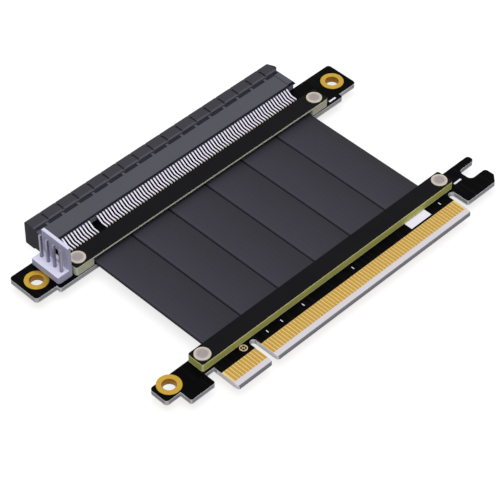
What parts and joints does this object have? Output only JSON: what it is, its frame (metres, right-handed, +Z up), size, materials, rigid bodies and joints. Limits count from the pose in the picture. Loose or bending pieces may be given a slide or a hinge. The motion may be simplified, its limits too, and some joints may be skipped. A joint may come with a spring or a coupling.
{
  "type": "pcie extension cable",
  "caption": "Flat card-slot extension cable: an edge-connector plug board and a card-slot socket board joined by side-by-side flat ribbons under riveted clamp bars.",
  "frame": {"origin": "centre of the whole cable's width and length, level with the underside of the socket housing", "axes": "+X along the row of contacts, from the keyed end with the power header to the hooked end; +Y from the plug's tongue to the socket's mouth; +Z up, out of the ribbon side of the boards"},
  "size_m": [0.1168, 0.0766, 0.0148],
  "materials": {
    "board_mask": "satin solder mask over fibreglass board",
    "gold_plate": "gold plated, bright",
    "clamp_bar": "black mask on top, bare laminate edges",
    "rivet_steel": "brushed",
    "ribbon_jacket": "soft satin",
    "housing_plastic": "fine moulded",
    "contact_tin": "tin plated",
    "header_plastic": "smooth moulded",
    "pin_metal": "tin plated",
    "copper_wire": "bare tinned copper"
  },
  "bodies": {
    "root": {"plug_board": "board_mask", "plug_fingers_top": "gold_plate", "plug_fingers_bottom": "gold_plate", "plug_eyelet": "gold_plate", "plug_clamp_bar": "clamp_bar", "plug_rivet_left": "rivet_steel", "plug_rivet_right": "rivet_steel", "plug_wire_ends": "copper_wire", "socket_board": "board_mask", "socket_eyelet_left": "gold_plate", "socket_eyelet_right": "gold_plate", "socket_clamp_bar": "clamp_bar", "socket_rivet_left": "rivet_steel", "socket_rivet_right": "rivet_steel", "socket_wire_ends": "copper_wire", "socket_housing": "housing_plastic", "contacts_top": "contact_tin", "contacts_bottom": "contact_tin", "power_header": "header_plastic", "ribbon_1": "ribbon_jacket", "ribbon_2": "ribbon_jacket", "ribbon_3": "ribbon_jacket", "ribbon_4": "ribbon_jacket", "ribbon_5": "ribbon_jacket", "ribbon_6": "ribbon_jacket", "header_pin_1": "pin_metal", "header_pin_2": "pin_metal", "header_pin_3": "pin_metal", "header_pin_4": "pin_metal"}
  },
  "joints": []
}
